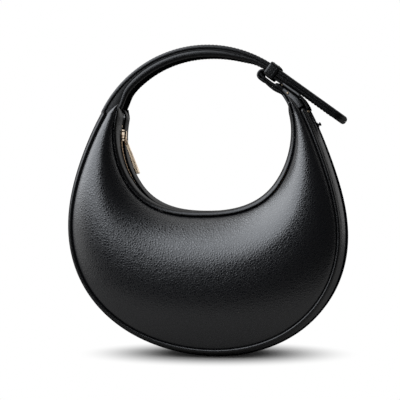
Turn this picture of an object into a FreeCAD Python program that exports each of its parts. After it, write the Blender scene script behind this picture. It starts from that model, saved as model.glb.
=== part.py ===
import FreeCAD, Part
import math
import os
from types import SimpleNamespace

import Sketcher
from FreeCAD import Placement, Rotation, Vector

# Half moon handbag: two swelling leather panels on a gusset, a curved zip in the mouth, and a strap
# that runs from the left horn through a keeper on the right one. Millimetres and degrees. The origin is
# on the floor under the middle of the base, X runs to the bag's right, -Y is the front and Z is up.
doc = FreeCAD.newDocument("half_moon_bag")
sheet = doc.addObject("Spreadsheet::Sheet", "Sizes")

SIZES = dict(
    # Outline of the body seen from the front: a circle drawn out to an oval with two full lower corners,
    # which leans a little to one side because the body is soft
    body_radius=140.5, outline_oval=10.2, outline_corner=7.5, oval_lean=2.0, corner_lean=1.4, horn_angle=132.5,
    base_depth=72.0, base_sag=1.0,
    # Leather panels, the piping in their seams and the gusset between them
    panel_thickness=2.6, panel_swell=20.0, horn_swell=1.5, tip_angle=8.0, tip_ease=0.7, lip_gap=0.6,
    piping_radius=2.0, seam_gap=0.3, gusset_thickness=2.8, gusset_crown=6.0, horn_crown=5.0,
    # Mouth: lip seam of the panels, the facings that roll over it and the zip
    mouth_height=217.5, lip_radius=90.8, lip_rise=10.0, lip_rise_angle=55.0, lip_height=4.5,
    facing_thickness=1.8, facing_angle=103.5, zip_radius=86.8, zip_slot=12.4,
    # Inner layers
    layer_gap=0.4, stiffener_thickness=0.8, lining_thickness=0.7, board_thickness=1.8, board_angle=30.0,
    board_margin=6.0, stiffener_margin=8.0, lining_margin=3.0, lining_width=20.0,
    # Zip: woven tapes, teeth in two rows, stops
    tape_thickness=0.8, tape_width=9.0, tape_angle=102.0, chain_gap=2.0, tooth_pitch=3.2, tooth_width=1.3,
    tooth_height=2.4, tooth_reach=0.9, tooth_shoulder=0.2, chain_start=-91.9, chain_end=75.0,
    stop_length=2.4, stop_width=1.6, stop_height=2.2, fit_gap=0.2,
    # Zip slider with its bridge, the link and the pull bar
    slider_angle=-91.5, slider_length=11.0, slider_width=10.4, slider_tail=8.0, slider_plate=1.2,
    slider_gap=0.4, post_length=2.4, post_width=1.8, bridge_length=8.6, bridge_height=3.6, bridge_width=2.2,
    bridge_bar=1.2, link_wire=0.6, link_length=6.6, link_width=6.0, link_round=1.2, link_tilt=14.0,
    hinge_gap=0.35, bar_tilt=22.0, bar_length=35.0, bar_neck=2.8, bar_shoulder=4.6, bar_shoulder_at=2.2,
    bar_end=7.6, bar_thickness=2.8, bar_groove=1.6, bar_groove_depth=0.5, bar_groove_end=5.0, bar_chamfer=0.5,
    # Strap: two plies on a core, an arch about its own centre that runs off straight into the tail
    strap_height=187.6, strap_radius=119.0, strap_base_width=36.0, strap_width=25.0, ply_thickness=3.6,
    ply_gap=0.3, core_thickness=1.6, strap_start=-60.9, inner_start=-57.7, strap_leave=37.0, core_end=18.0,
    tail_start=29.0, tail_length=58.0, taper_outer=92.0, taper_inner=42.0,
    # Tab on the right horn: a folded leather loop with a padded backing, and the keeper held in its fold
    tab_thickness=2.6, tab_fold=4.4, tab_end=60.9, tab_return=57.0, tab_taper_outer=95.0, tab_taper_inner=79.0,
    backing_thickness=2.0, keeper_angle=36.8, keeper_width=10.5, keeper_thickness=2.0, keeper_gap=0.4,
    keeper_round=1.6,
    # Studs and rivets
    stud_angle=45.0, stud_back=3.6, stud_shank=1.6, stud_head=2.4, stud_plate=0.9, stud_gap=0.3,
    tail_stud_angle=124.0, tail_stud_base=2.6, tail_stud_neck=1.2, tail_stud_head=2.0, tail_stud_rise=3.2,
    rivet_angle=50.7, rivet_head=1.3, rivet_rise=0.7, rivet_shank=0.7, rivet_length=3.0, rivet_margin=0.9,
    # How far a cutting solid runs past what it cuts
    overrun=10.0,
)
for row, (alias, value) in enumerate(SIZES.items(), 1):
    sheet.set("A%d" % row, alias)
    sheet.set("B%d" % row, str(value))
    sheet.setAlias("B%d" % row, alias)
doc.recompute()
D = SimpleNamespace(**{alias: float(sheet.get(alias)) for alias in SIZES})

# Sizes that follow from the driving ones
HORN_HALF = D.strap_base_width / 2 + D.seam_gap + D.panel_thickness
PANEL_EDGE = D.piping_radius + D.seam_gap
GUSSET_EDGE = 2 * D.piping_radius + D.seam_gap
STRAP_THICKNESS = 2 * D.ply_thickness + D.ply_gap

# Powers and shares that shape the curves
DEPTH_POWER = 2.5
EASE_POWER = 6
CROWN_POWER = 4
CREST_SHARE = 0.40
HALF_SHARES = (0.16, 0.32, 0.47, 0.6, 0.7, 0.78, 0.86, 0.93, 1)
SEAM_SHARES = (0, 0.04, 0.1) + HALF_SHARES
OUTLINE_SHARES = tuple(-share for share in HALF_SHARES[::-1]) + (0,) + HALF_SHARES
ACROSS_SHARES = (0, 0.1, 0.22, 0.4, 0.6, 0.8, 0.92, 1)
CROWN_SHARES = (-1, -0.93, -0.8, -0.5, 0, 0.5, 0.8, 0.93, 1)
TIP_SHARES = ((0.5, 0.62), (1.0, 0.14))
LINED_SHARE = 0.9
FRONT, BACK = -1, 1


def sin(angle):
    return math.sin(math.radians(angle))


def cos(angle):
    return math.cos(math.radians(angle))


def on_mouth(angle, radius, y):
    """Point at an angle from straight down about the mouth's centre."""
    return Vector(radius * sin(angle), y, D.mouth_height - radius * cos(angle))


def on_strap(angle, radius, y=0):
    """Point at an angle from straight up about the strap's centre."""
    return Vector(radius * sin(angle), y, D.strap_height + radius * cos(angle))


def outline_radius(angle):
    """Radius of the panels' outer seam: a circle with waves of two and three turns, each with a lean."""
    oval = D.outline_oval * cos(2 * angle) + D.oval_lean * sin(2 * angle)
    corner = D.outline_corner * cos(3 * angle) - D.corner_lean * sin(3 * angle)
    return D.body_radius + oval - corner


def toward_horn(angle, at_base, at_horn, power=2):
    """A size that goes from its value at the base to its value at the horns."""
    share = min(abs(angle) / D.horn_angle, 1) ** power
    return at_base + (at_horn - at_base) * share


def crest_radius(angle):
    """Radius of the gusset's outer face in the bag's middle plane."""
    return outline_radius(angle) + D.gusset_thickness / 2 + toward_horn(angle, D.gusset_crown, D.horn_crown)


# The body's centre stands over the floor so that the gusset's lowest point sags into it
LOW_ANGLES = [step / 2 for step in range(-60, 61)]
BODY_HEIGHT = max(crest_radius(angle) * cos(angle) for angle in LOW_ANGLES) - D.base_sag


def on_body(angle, radius, y):
    """Point at an angle from straight down about the body's centre."""
    return Vector(radius * sin(angle), y, BODY_HEIGHT - radius * cos(angle))


def half_depth(angle):
    return toward_horn(angle, D.base_depth / 2, HORN_HALF, DEPTH_POWER)


def lip_radius(angle):
    """Radius of the lip seam about the mouth's centre: a circle that rises in the middle."""
    if abs(angle) >= D.lip_rise_angle:
        return D.lip_radius
    return D.lip_radius - D.lip_rise * cos(90 * angle / D.lip_rise_angle) ** 2


def spline(points):
    curve = Part.BSplineCurve()
    curve.interpolate(points)
    return curve.toShape()


def ribbon_wire(one_side, other_side):
    """Closed wire of two smooth sides joined by straight ends."""
    last = Part.LineSegment(one_side[-1], other_side[-1]).toShape()
    first = Part.LineSegment(other_side[0], one_side[0]).toShape()
    return Part.Wire([spline(one_side), last, spline(other_side[::-1]), first])


def node(label, shape, place=None):
    """A sub-part whose form is a loft or an outline that was worked out above."""
    piece = doc.addObject("Part::Feature", label)
    piece.Shape = shape
    piece.Placement = place or Placement()
    return piece


def bag_angles(limit=1.0):
    return [share * limit * D.horn_angle for share in OUTLINE_SHARES]


# Front and back panels, with the stiffener and the lining that lie behind each
def panel_stations():
    """Radial stations of a panel: angle about the mouth, outer radius there, angle about the body."""
    rows = []
    for angle in bag_angles():
        ease_in = toward_horn(angle, 0, D.tip_ease, EASE_POWER)
        edge = on_body(angle, outline_radius(angle) - PANEL_EDGE - ease_in, 0)
        drop = D.mouth_height - edge.z
        rows.append((math.degrees(math.atan2(edge.x, drop)), math.hypot(edge.x, drop), angle))
    return panel_tip(rows[0], -D.tip_angle)[::-1] + rows + panel_tip(rows[-1], D.tip_angle)


def panel_tip(last, reach):
    """Stations of the pointed tip past a panel's last full station."""
    tip = []
    for along_share, width_share in TIP_SHARES:
        outer = D.lip_radius + (last[1] - D.lip_radius) * width_share
        tip.append((last[0] + reach * along_share, outer, last[2]))
    return tip


def panel_points(station, side, inset, margin):
    """Line across a panel from its lip to its outer seam, swelling to a crest, at a depth under its face."""
    angle, outer, bag_angle = station
    lip = lip_radius(angle)
    swell = toward_horn(bag_angle, D.panel_swell, D.horn_swell)
    trim = margin / (outer - lip)
    points = []
    for part_share in ACROSS_SHARES:
        share = trim + (1 - 2 * trim) * part_share
        rise = share / CREST_SHARE if share < CREST_SHARE else (1 - share) / (1 - CREST_SHARE)
        depth = HORN_HALF * (1 - share) + half_depth(bag_angle) * share
        depth += swell * (1 - (1 - rise) ** 2)
        points.append(on_mouth(angle, lip + (outer - lip) * share, side * (depth - inset)))
    return points


def panel_layer(side, top, thickness, margin=0, least_width=0):
    """Sheet under a panel's face, held back from its seams and left out where the panel is narrow."""
    wires = []
    for station in panel_stations():
        if station[1] - lip_radius(station[0]) < least_width:
            continue
        face = panel_points(station, side, top, margin)
        under = panel_points(station, side, top + thickness, margin)
        wires.append(ribbon_wire(face, under))
    return Part.makeLoft(wires, True, False)


STIFFENER_TOP = D.panel_thickness + D.layer_gap
LINING_TOP = STIFFENER_TOP + D.stiffener_thickness + D.layer_gap
for name, side in (("front", FRONT), ("back", BACK)):
    node(name + "_panel", panel_layer(side, 0, D.panel_thickness))
    stiffener = panel_layer(side, STIFFENER_TOP, D.stiffener_thickness, D.stiffener_margin, D.lining_width)
    node(name + "_stiffener", stiffener)
    lining = panel_layer(side, LINING_TOP, D.lining_thickness, D.lining_margin, D.lining_width)
    node(name + "_lining", lining)


# Gusset band between the panels, with its lining and the board in the base
def gusset_layer(top, thickness, angles, edge):
    """Band about the body's centre whose middle stands proud of its edges by the crown."""
    wires = []
    for angle in angles:
        crown = toward_horn(angle, D.gusset_crown, D.horn_crown)
        half = half_depth(angle) - edge
        sides = []
        for inset in (top, top + thickness):
            line = []
            for share in CROWN_SHARES:
                rise = crown * (1 - abs(share) ** CROWN_POWER)
                radius = outline_radius(angle) + D.gusset_thickness / 2 + rise - inset
                line.append(on_body(angle, radius, share * half))
            sides.append(line)
        wires.append(ribbon_wire(*sides))
    return Part.makeLoft(wires, True, False)


GUSSET_LINING_TOP = D.gusset_thickness + D.layer_gap
BOARD_TOP = GUSSET_LINING_TOP + D.lining_thickness + D.layer_gap
# The gusset is two lengths, which meet in a seam under the middle of the base and lie flat on the floor
floor_size = 2 * (D.body_radius + D.outline_oval + D.overrun)
floor_corner = Vector(-floor_size / 2, -floor_size / 2, -D.overrun)
floor_cut = Part.makeBox(floor_size, floor_size, D.overrun, floor_corner)
for name, way in (("gusset_left", -1), ("gusset_right", 1)):
    half_angles = [way * share * D.horn_angle for share in SEAM_SHARES]
    node(name, gusset_layer(0, D.gusset_thickness, half_angles, GUSSET_EDGE).cut(floor_cut))
lining_edge = GUSSET_EDGE + D.lining_margin
gusset_lining = gusset_layer(GUSSET_LINING_TOP, D.lining_thickness, bag_angles(LINED_SHARE), lining_edge)
node("gusset_lining", gusset_lining)
board_angles = bag_angles(D.board_angle / D.horn_angle)
node("base_board", gusset_layer(BOARD_TOP, D.board_thickness, board_angles, GUSSET_EDGE + D.board_margin))


# Piping cords in the two outer seams: a round cord drawn along the seam's curve
PIPING_STEPS = 60


def piping(side):
    centres = []
    for step in range(PIPING_STEPS + 1):
        angle = D.horn_angle * (2 * step / PIPING_STEPS - 1)
        centres.append(on_body(angle, outline_radius(angle), side * (half_depth(angle) - D.piping_radius)))
    seam = Part.Wire(spline(centres))
    section = Part.Wire(Part.makeCircle(D.piping_radius, centres[0], centres[1] - centres[0]))
    return seam.makePipeShell([section], True, False)


node("front_piping", piping(FRONT))
node("back_piping", piping(BACK))


# Facings that roll from the lip seam over a crest and down to the zip
FACING_STEPS = 8


def facing_points(angle, side):
    """Middle line of a facing: a Bezier curve from the lip, over its crest, to the edge of the zip slot."""
    middle = HORN_HALF - D.facing_thickness / 2
    lip = lip_radius(angle) - D.lip_gap
    crest = lip - 4 * D.lip_height / 3
    corners = ((lip, middle), (crest, middle), (crest, middle / 2), (D.zip_radius, D.zip_slot / 2))
    points = []
    for step in range(FACING_STEPS + 1):
        share = step / FACING_STEPS
        weights = ((1 - share) ** 3, 3 * share * (1 - share) ** 2, 3 * share ** 2 * (1 - share), share ** 3)
        radius = sum(weight * corner[0] for weight, corner in zip(weights, corners))
        depth = sum(weight * corner[1] for weight, corner in zip(weights, corners))
        points.append((radius, side * depth))
    return points


def offset_line(points, distance):
    """Plane line moved sideways by a distance, along the normals of its own chords."""
    moved = []
    for index, (first, second) in enumerate(points):
        before = points[max(index - 1, 0)]
        after = points[min(index + 1, len(points) - 1)]
        run = (after[0] - before[0], after[1] - before[1])
        length = math.hypot(*run)
        moved.append((first - run[1] / length * distance, second + run[0] / length * distance))
    return moved


def facing(side):
    wires = []
    most = D.facing_angle - D.tip_angle
    inner_angles = [station[0] for station in panel_stations() if abs(station[0]) < most]
    for angle in [-D.facing_angle] + inner_angles + [D.facing_angle]:
        middle = facing_points(angle, side)
        sides = []
        for distance in (D.facing_thickness / 2, -D.facing_thickness / 2):
            sides.append([on_mouth(angle, radius, y) for radius, y in offset_line(middle, distance)])
        wires.append(ribbon_wire(*sides))
    return Part.makeLoft(wires, True, False)


node("front_facing", facing(FRONT))
node("back_facing", facing(BACK))


# Small sketching helpers for pieces that are padded or turned
def origin_plane(body, role):
    return next(plane for plane in body.Origin.OriginFeatures if plane.Role == role)


def new_body(label):
    return doc.addObject("PartDesign::Body", label)


def outline_sketch(body, name, role, corners, lift=None):
    """Closed outline in an origin plane, each corner bound to the sheet by two expressions."""
    sketch = body.newObject("Sketcher::SketchObject", name)
    sketch.AttachmentSupport = [(origin_plane(body, role), "")]
    sketch.MapMode = "FlatFace"
    if lift:
        sketch.setExpression("AttachmentOffset.Base.z", lift)
    values = [[doc_value(text) for text in corner] for corner in corners]
    count = len(corners)
    for index in range(count):
        start, end = values[index], values[(index + 1) % count]
        sketch.addGeometry(Part.LineSegment(Vector(*start, 0), Vector(*end, 0)))
    for index in range(count):
        sketch.addConstraint(Sketcher.Constraint("Coincident", index, 2, (index + 1) % count, 1))
    for index, corner in enumerate(corners):
        for kind, axis, text, value in zip(("DistanceX", "DistanceY"), (-2, -1), corner, values[index]):
            if value == 0:
                sketch.addConstraint(Sketcher.Constraint("PointOnObject", index, 1, axis))
                continue
            at = sketch.addConstraint(Sketcher.Constraint(kind, -1, 1, index, 1, value))
            sketch.setExpression("Constraints[%d]" % at, text)
    return sketch


def doc_value(text):
    """Number that an expression on the sheet gives."""
    value = sheet.evalExpression(text)
    return float(getattr(value, "Value", value))


def pad(body, name, sketch, length, midplane=False):
    feature = body.newObject("PartDesign::Pad", name)
    feature.Profile = sketch
    feature.setExpression("Length", length)
    feature.Midplane = midplane
    body.Tip = feature
    return feature


def pocket(body, name, sketch, length, midplane=False):
    before = doc_volume(body)
    feature = body.newObject("PartDesign::Pocket", name)
    feature.Profile = sketch
    feature.setExpression("Length", length)
    feature.Midplane = midplane
    body.Tip = feature
    if doc_volume(body) >= before:
        raise ValueError("pocket %s of %s cut nothing" % (name, body.Label))
    return feature


def doc_volume(body):
    doc.recompute()
    return body.Shape.Volume


def ease(body, name, kind, size, wanted):
    """Chamfer or fillet on the body's straight edges that a test picks."""
    doc.recompute()
    base = body.Tip
    edges = ["Edge%d" % at for at, edge in enumerate(base.Shape.Edges, 1) if wanted(edge)]
    feature = body.newObject("PartDesign::" + kind, name)
    feature.Base = (base, edges)
    feature.setExpression("Size" if kind == "Chamfer" else "Radius", size)
    body.Tip = feature


def turned_body(label, corners):
    """Body turned about its Z axis from a profile of radius and height."""
    body = new_body(label)
    sketch = outline_sketch(body, label + "_profile", "XZ_Plane", corners)
    feature = body.newObject("PartDesign::Revolution", label + "_turn")
    feature.Profile = sketch
    feature.ReferenceAxis = (origin_plane(body, "Z_Axis"), [""])
    feature.Angle = 360
    body.Tip = feature
    return body


# Zip tapes: two bands turned about the mouth's centre, under the edges of the facings
def zip_tape(label, side):
    body = new_body(label)
    edge = "Sizes.chain_gap * %d" % side
    rim = "(Sizes.chain_gap + Sizes.tape_width) * %d" % side
    near = "-(Sizes.zip_radius + Sizes.facing_thickness / 2 + Sizes.seam_gap)"
    far = near + " - Sizes.tape_thickness"
    corners = ((edge, near), (rim, near), (rim, far), (edge, far))
    sketch = outline_sketch(body, label + "_section", "YZ_Plane", corners)
    feature = body.newObject("PartDesign::Revolution", label + "_turn")
    feature.Profile = sketch
    feature.ReferenceAxis = (origin_plane(body, "Y_Axis"), [""])
    feature.setExpression("Angle", "2 * Sizes.tape_angle")
    feature.Midplane = True
    body.Tip = feature
    body.Placement = Placement(Vector(0, 0, D.mouth_height), Rotation())
    return body


zip_tape("front_zip_tape", FRONT)
zip_tape("back_zip_tape", BACK)


CHAIN_RADIUS = D.zip_radius + D.facing_thickness / 2 + D.seam_gap + D.tape_thickness / 2


def chain_place(angle):
    """Place at an angle on the zip, X along it and Z towards the mouth's centre."""
    return Placement(on_mouth(angle, CHAIN_RADIUS, 0), Rotation(Vector(0, 1, 0), -angle))


def on_chain(shape, angle):
    moved = shape.copy()
    moved.Placement = chain_place(angle)
    return moved


# Zip teeth: a root on the tape's edge that narrows to a nose between the teeth of the other row
def tooth(side):
    half = D.tooth_width / 2
    root = -(D.chain_gap - D.fit_gap)
    nose = half * NOSE_SHARE
    plan = ((-half, root), (half, root), (half, D.tooth_shoulder), (nose, D.tooth_reach),
            (-nose, D.tooth_reach), (-half, D.tooth_shoulder))
    low = -D.tooth_height / 2
    corners = [Vector(x, -side * y, low) for x, y in plan]
    outline = Part.Face(Part.makePolygon(corners + corners[:1]))
    return outline.extrude(Vector(0, 0, D.tooth_height))


def tooth_row(label, side):
    """One row of teeth along the chain; the back row stands half a pitch on."""
    step = math.degrees(D.tooth_pitch / CHAIN_RADIUS)
    start = D.chain_start + (step / 2 if side == BACK else 0)
    count = int((D.chain_end - start) / step)
    shape = tooth(side)
    node(label, Part.makeCompound([on_chain(shape, start + step * index) for index in range(count)]))


NOSE_SHARE = 0.5
tooth_row("front_zip_teeth", FRONT)
tooth_row("back_zip_teeth", BACK)


# Zip stops: two crimped on the tapes above the slider, one bar across both at the far end
def stop_block(width, y):
    corner = Vector(-D.stop_length / 2, y, -D.stop_height / 2)
    return Part.makeBox(D.stop_length, width, D.stop_height, corner)


SLIDER_REACH = math.degrees((D.slider_length + D.stop_length) / 2 / CHAIN_RADIUS)
top_stop_angle = D.slider_angle - SLIDER_REACH - math.degrees(D.stop_length / CHAIN_RADIUS)
inner = D.chain_gap - D.fit_gap
top_stops = [on_chain(stop_block(D.stop_width, y), top_stop_angle) for y in (-inner, inner - D.stop_width)]
bottom_stop_angle = D.chain_end + math.degrees(D.stop_length / CHAIN_RADIUS)
node("zip_top_stops", Part.makeCompound(top_stops))
node("zip_bottom_stop", stop_block(2 * inner, -inner), chain_place(bottom_stop_angle))


# Slider: two plates joined by a post at the end where the rows part, with a bridge on the upper plate
SLIDER_PLACE = chain_place(D.slider_angle)
CHAIN_SIDE = "(Sizes.tooth_height / 2 + Sizes.slider_gap)"


def slider_body():
    body = new_body("slider_body")
    nose, waist, tail = "-Sizes.slider_length / 2", "Sizes.slider_length / 10", "Sizes.slider_length / 2"
    wide, narrow = "Sizes.slider_width / 2", "Sizes.slider_tail / 2"
    plan = ((nose, "-" + wide), (waist, "-" + wide), (tail, "-" + narrow),
            (tail, narrow), (waist, wide), (nose, wide))
    upper = outline_sketch(body, "upper_plate_plan", "XY_Plane", plan, CHAIN_SIDE)
    pad(body, "upper_plate", upper, "Sizes.slider_plate")
    post_end = nose + " + Sizes.post_length"
    side = "Sizes.post_width / 2"
    post_plan = ((nose, "-" + side), (post_end, "-" + side), (post_end, side), (nose, side))
    post = outline_sketch(body, "post_plan", "XY_Plane", post_plan, "-" + CHAIN_SIDE)
    pad(body, "post", post, "2 * " + CHAIN_SIDE)
    lower = outline_sketch(body, "lower_plate_plan", "XY_Plane", plan, "-%s - Sizes.slider_plate" % CHAIN_SIDE)
    pad(body, "lower_plate", lower, "Sizes.slider_plate")
    body.Placement = SLIDER_PLACE


def slider_bridge():
    """Flat arch over the upper plate, standing on two feet."""
    body = new_body("slider_bridge")
    end, foot = "Sizes.bridge_length / 2", "(Sizes.bridge_length / 2 - Sizes.bridge_bar)"
    low = CHAIN_SIDE + " + Sizes.slider_plate"
    top, under = low + " + Sizes.bridge_height", low + " + Sizes.bridge_height - Sizes.bridge_bar"
    corner = low + " + Sizes.bridge_height - Sizes.bridge_bar / 2"
    in_end = "(Sizes.bridge_length / 2 - Sizes.bridge_bar / 2)"
    profile = (("-" + end, low), ("-" + foot, low), ("-" + foot, under), (foot, under), (foot, low), (end, low),
               (end, corner), (in_end, top), ("-" + in_end, top), ("-" + end, corner))
    sketch = outline_sketch(body, "bridge_profile", "XZ_Plane", profile)
    pad(body, "bridge", sketch, "Sizes.bridge_width", True)
    body.Placement = SLIDER_PLACE


slider_body()
slider_bridge()

# Link and pull bar hang from the bridge, tilted to lie along the curved zip
BRIDGE_UNDER = D.tooth_height / 2 + D.slider_gap + D.slider_plate + D.bridge_height - D.bridge_bar
LINK_DROP = D.link_wire + D.hinge_gap
link_place = SLIDER_PLACE.multiply(Placement(Vector(0, 0, BRIDGE_UNDER - LINK_DROP),
                                             Rotation(Vector(0, 1, 0), -D.link_tilt)))


def pull_link():
    """Wire ring round the bridge: a rectangle with round corners, in the plane of X and Y."""
    half = D.link_width / 2 - D.link_wire
    bend = D.link_round
    middles = ((bend, bend - half, 180), (D.link_length - bend, bend - half, 270),
               (D.link_length - bend, half - bend, 0), (bend, half - bend, 90))
    turns = []
    for x, y, angle in middles:
        points = [Vector(x + bend * cos(angle + step), y + bend * sin(angle + step), 0) for step in (0, 45, 90)]
        turns.append(points)
    edges = []
    for index, points in enumerate(turns):
        edges.append(Part.Arc(*points).toShape())
        edges.append(Part.LineSegment(points[-1], turns[(index + 1) % len(turns)][0]).toShape())
    section = Part.Wire(Part.makeCircle(D.link_wire, turns[0][0], Vector(0, 1, 0)))
    shape = Part.Wire(edges).makePipeShell([section], True, True)
    node("pull_link", shape, link_place)


pull_link()
bar_place = SLIDER_PLACE.multiply(Placement(Vector(0, 0, BRIDGE_UNDER - LINK_DROP), Rotation()))
bar_hook = bar_place.multVec(Vector(D.link_length * cos(D.link_tilt), 0, D.link_length * sin(D.link_tilt)))
bar_place = Placement(bar_hook, Rotation(Vector(0, 1, 0), -D.slider_angle - D.bar_tilt))


def pull_bar():
    """Flat bar that widens to a square end, with an eye across its neck and a groove down its face."""
    body = new_body("pull_bar")
    back = "-(2 * Sizes.link_wire + Sizes.hinge_gap)"
    tip, step = "Sizes.bar_length", "Sizes.bar_shoulder_at"
    full = "(Sizes.bar_shoulder_at + Sizes.bar_shoulder - Sizes.bar_neck)"
    neck, shoulder, wide = "Sizes.bar_neck / 2", "Sizes.bar_shoulder / 2", "Sizes.bar_end / 2"
    near = ((back, neck), (step, neck), (full, shoulder), (tip, wide))
    plan = tuple((x, "-" + y) for x, y in near) + near[::-1]
    sketch = outline_sketch(body, "bar_plan", "XY_Plane", plan)
    pad(body, "bar", sketch, "Sizes.bar_thickness", True)
    face = D.bar_thickness / 2
    ease(body, "bar_edges", "Chamfer", "Sizes.bar_chamfer",
         lambda edge: all(abs(abs(point.Z) - face) < D.fit_gap for point in edge.Vertexes))
    eye = "(Sizes.link_wire + Sizes.hinge_gap)"
    square = (("-" + eye, "-" + eye), (eye, "-" + eye), (eye, eye), ("-" + eye, eye))
    pocket(body, "eye", outline_sketch(body, "eye_plan", "XZ_Plane", square), "2 * Sizes.bar_end", True)
    start, end = "Sizes.bar_shoulder_at + 2 * Sizes.bar_shoulder", "Sizes.bar_length - Sizes.bar_groove_end"
    side = "Sizes.bar_groove / 2"
    slot = ((start, "-" + side), (end, "-" + side), (end, side), (start, side))
    groove = outline_sketch(body, "groove_plan", "XY_Plane", slot, "Sizes.bar_thickness / 2")
    pocket(body, "groove", groove, "Sizes.bar_groove_depth")
    body.Placement = bar_place


pull_bar()


# Strap: an outer and an inner ply over a core, cut to a width that tapers up from the left horn
def leaving(along, depth):
    """Point on the straight run that leaves the arch: along it, and a depth under its outer face."""
    start = on_strap(D.strap_leave, D.strap_radius - depth)
    return start + Vector(cos(D.strap_leave), 0, -sin(D.strap_leave)) * along


def plan_prism(corners):
    """Upright prism over a plan that is the same on both sides of the X axis."""
    plan = [Vector(x, half, 0) for x, half in corners] + [Vector(x, -half, 0) for x, half in corners[::-1]]
    height = D.strap_height + D.strap_radius + D.overrun
    return Part.Face(Part.makePolygon(plan + plan[:1])).extrude(Vector(0, 0, height))


def banded(face, prism):
    """Flat XZ face given its depth, then trimmed to a plan."""
    depth = D.strap_base_width + D.overrun
    face.translate(Vector(0, -depth / 2, 0))
    return face.extrude(Vector(0, depth, 0)).common(prism)


REACH = D.strap_radius + D.tail_length + D.overrun
strap_prism = plan_prism(((-REACH, D.strap_base_width / 2), (-D.taper_outer, D.strap_base_width / 2),
                          (-D.taper_inner, D.strap_width / 2), (REACH, D.strap_width / 2)))
tab_prism = plan_prism(((0, D.strap_width / 2), (D.tab_taper_inner, D.strap_width / 2),
                        (D.tab_taper_outer, D.strap_base_width / 2), (REACH, D.strap_base_width / 2)))
STRAP_STOP = D.tail_start - STRAP_THICKNESS / 2 - D.keeper_gap


def arch_face(outer, inner):
    """Face between two lines of points, each drawn from the left horn to its other end."""
    return Part.Face(ribbon_wire(outer, inner))


# Where along the arch the inner ply stands off the outer one and how thick its padding makes it there, as
# shares of its run, of the core's room and of a ply's thickness
STAND_OFF_SHARES = ((0.0, 5.3, 1.0), (0.062, 4.4, 1.1), (0.143, 2.3, 1.35), (0.205, 1.6, 1.5),
                    (0.304, 1.2, 1.6), (0.45, 1.05, 1.6), (0.78, 1.0, 1.55), (1.0, 0.9, 1.2),
                    (1.1, 0.2, 1.0), (1.16, 0.0, 1.0))


def inner_depths():
    """Angles along the arch, with the inner ply's depth and thickness: a wedge parts the plies at the horn."""
    span = D.core_end - D.inner_start
    room = D.core_thickness + D.ply_gap
    rows = []
    for share, stand_off, fullness in STAND_OFF_SHARES:
        depth = D.ply_thickness + D.ply_gap + room * stand_off
        rows.append((D.inner_start + span * share, depth, D.ply_thickness * fullness))
    rows.append((D.strap_leave, D.ply_thickness + D.ply_gap, D.ply_thickness))
    return rows


def strap_outer_ply():
    sides = []
    for radius in (D.strap_radius, D.strap_radius - D.ply_thickness):
        start, middle = on_strap(D.strap_start, radius), on_strap(0, radius)
        end = on_strap(D.strap_leave, radius)
        stop = leaving(STRAP_STOP, D.strap_radius - radius)
        arc = Part.Arc(start, middle, end).toShape()
        sides.append((arc, Part.LineSegment(end, stop).toShape(), start, stop))
    outer, inner = sides
    ends = [Part.LineSegment(outer[3], inner[3]).toShape(), Part.LineSegment(inner[2], outer[2]).toShape()]
    edges = Part.__sortEdges__([outer[0], outer[1], ends[0], inner[1], inner[0], ends[1]])
    return banded(Part.Face(Part.Wire(edges)), strap_prism)


def strap_line(side):
    """Line along the inner ply's outer face, or its inner one where the side is 1, to the strap's end."""
    points = []
    for angle, depth, thickness in inner_depths():
        points.append(on_strap(angle, D.strap_radius - depth - thickness * side))
    for share in (0.5, 1.0):
        points.append(leaving(STRAP_STOP * share, D.ply_thickness * (1 + side) + D.ply_gap))
    return points


node("strap_outer_ply", strap_outer_ply())
inner_ply = banded(arch_face(strap_line(0), strap_line(1)), strap_prism)
core_rows = [(D.strap_start, inner_depths()[0][1])]
core_rows += [(angle, depth) for angle, depth, thickness in inner_depths() if angle <= D.core_end]
core_top = [on_strap(angle, D.strap_radius - D.ply_thickness - D.ply_gap) for angle, depth in core_rows]
core_under = [on_strap(angle, D.strap_radius - depth + D.ply_gap) for angle, depth in core_rows]
node("strap_core", banded(arch_face(core_top, core_under), strap_prism))

# Stud on the gusset below the right horn, for the hole near the tail's tip
HEAD_LOW, HEAD_HIGH = "Sizes.tail_stud_rise * 0.66", "Sizes.tail_stud_rise * 0.82"
tail_stud = turned_body("tail_stud", (
    ("0", "0"), ("Sizes.tail_stud_base", "0"), ("Sizes.tail_stud_base", "Sizes.stud_plate / 2"),
    ("Sizes.tail_stud_neck", "Sizes.stud_plate"), ("Sizes.tail_stud_neck", "Sizes.tail_stud_rise / 2"),
    ("Sizes.tail_stud_head", HEAD_LOW), ("Sizes.tail_stud_head", HEAD_HIGH),
    ("Sizes.tail_stud_neck", "Sizes.tail_stud_rise"), ("0", "Sizes.tail_stud_rise")))


def gusset_crest(angle):
    """Point on the gusset's outer face, on the bag's middle plane."""
    return on_body(angle, crest_radius(angle), 0)


def room_under_tail(angle):
    """Room between the gusset and the inner face of the tail."""
    out = Vector(sin(D.strap_leave), 0, cos(D.strap_leave))
    return (leaving(0, STRAP_THICKNESS) - gusset_crest(angle)).dot(out)


# The stud sits as high on the gusset as the tail leaves room for
stud_seat = D.tail_stud_angle
while room_under_tail(stud_seat) < D.tail_stud_rise + D.tail_stud_base:
    stud_seat -= 1
along = gusset_crest(stud_seat + 1) - gusset_crest(stud_seat - 1)
outward = Vector(along.z, 0, -along.x).normalize()
stud_spot = gusset_crest(stud_seat) + outward * D.seam_gap
tail_stud.Placement = Placement(stud_spot, Rotation(Vector(0, 0, 1), outward))


# Tail: the strap's free end, which bends where it leaves the tab; it has a round root and a round tip
TAIL_PIVOT = leaving(D.tail_start, STRAP_THICKNESS / 2)
tail_place = Placement(TAIL_PIVOT, Rotation(Vector(0, 1, 0), D.strap_leave))


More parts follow.
